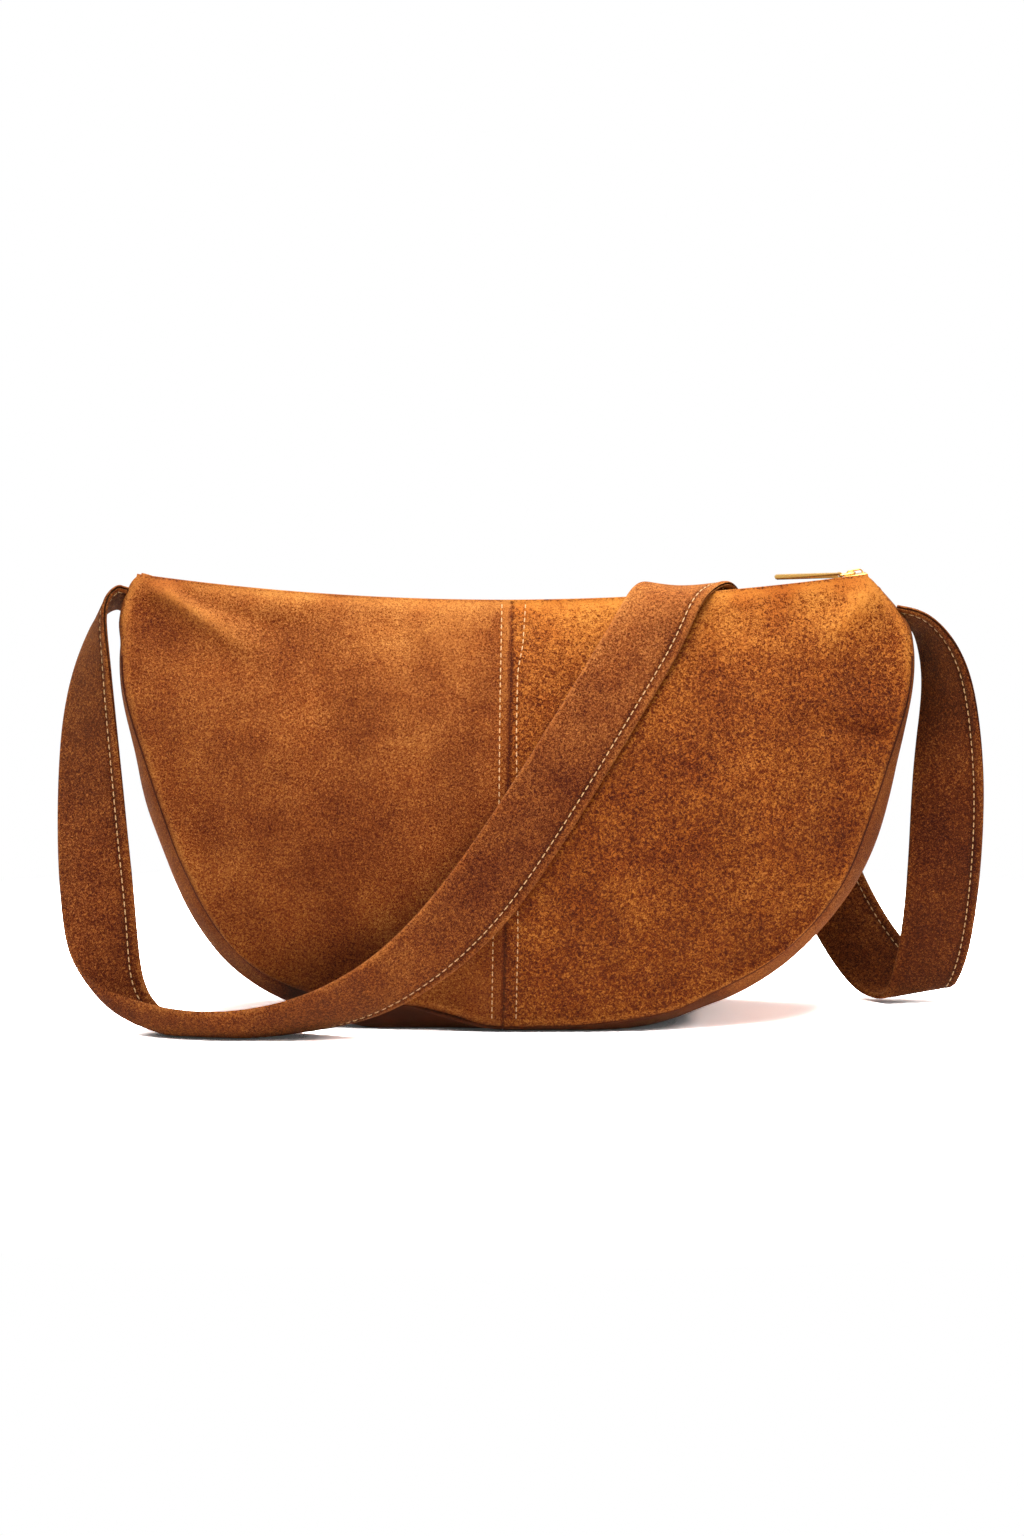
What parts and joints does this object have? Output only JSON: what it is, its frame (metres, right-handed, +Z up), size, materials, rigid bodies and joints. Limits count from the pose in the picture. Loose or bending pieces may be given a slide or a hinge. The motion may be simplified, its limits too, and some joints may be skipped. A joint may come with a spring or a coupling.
{
  "type": "half-moon shoulder bag",
  "caption": "Half-moon suede shoulder bag with a curved zip mouth, flat base and one sewn strap draped over it.",
  "frame": {"origin": "centre of the bag's flat base, on the surface it stands on", "axes": "+X to the viewer's right along the bag, -Y out of the front panel, +Z up"},
  "size_m": [0.4523, 0.1461, 0.2198],
  "materials": {
    "suede_smooth": "fine nap suede",
    "suede_split": "coarse nap suede",
    "suede_gusset": "suede",
    "strap_suede": "suede",
    "lining_cloth": "woven",
    "zip_tape": "woven",
    "brass": "polished"
  },
  "bodies": {
    "bag": {"front_panel_left": "suede_smooth", "front_panel_right": "suede_split", "back_panel_left": "suede_smooth", "back_panel_right": "suede_split", "gusset_left": "suede_gusset", "gusset_right": "suede_gusset", "lining_front": "lining_cloth", "lining_back": "lining_cloth", "lining_gusset": "lining_cloth", "zip_tape_front": "zip_tape", "zip_tape_back": "zip_tape", "zip_top_stop_front": "brass", "zip_top_stop_back": "brass", "zip_bottom_stop": "brass", "strap": "strap_suede"},
    "slider": {"zip_slider_body": "brass", "zip_slider_underplate": "brass"},
    "pull_ring": {"zip_pull_ring": "brass"},
    "pull_bar": {"zip_pull_bar": "brass"}
  },
  "joints": [
    {"name": "zip_travel", "type": "hinge", "parent": "bag", "child": "slider", "pos_m": [-0.007, 0, 1.22014], "axis": [0, 1, 0], "range_deg": [0, 19.12]},
    {"name": "ring_swing", "type": "hinge", "parent": "slider", "child": "pull_ring", "pos_m": [0.16357, 0, 0.21771], "axis": [0, 1, 0], "range_deg": [0, 110]},
    {"name": "pull_swing", "type": "hinge", "parent": "pull_ring", "child": "pull_bar", "pos_m": [0.15627, 0, 0.21647], "axis": [0, 1, 0], "range_deg": [0, 54]}
  ]
}
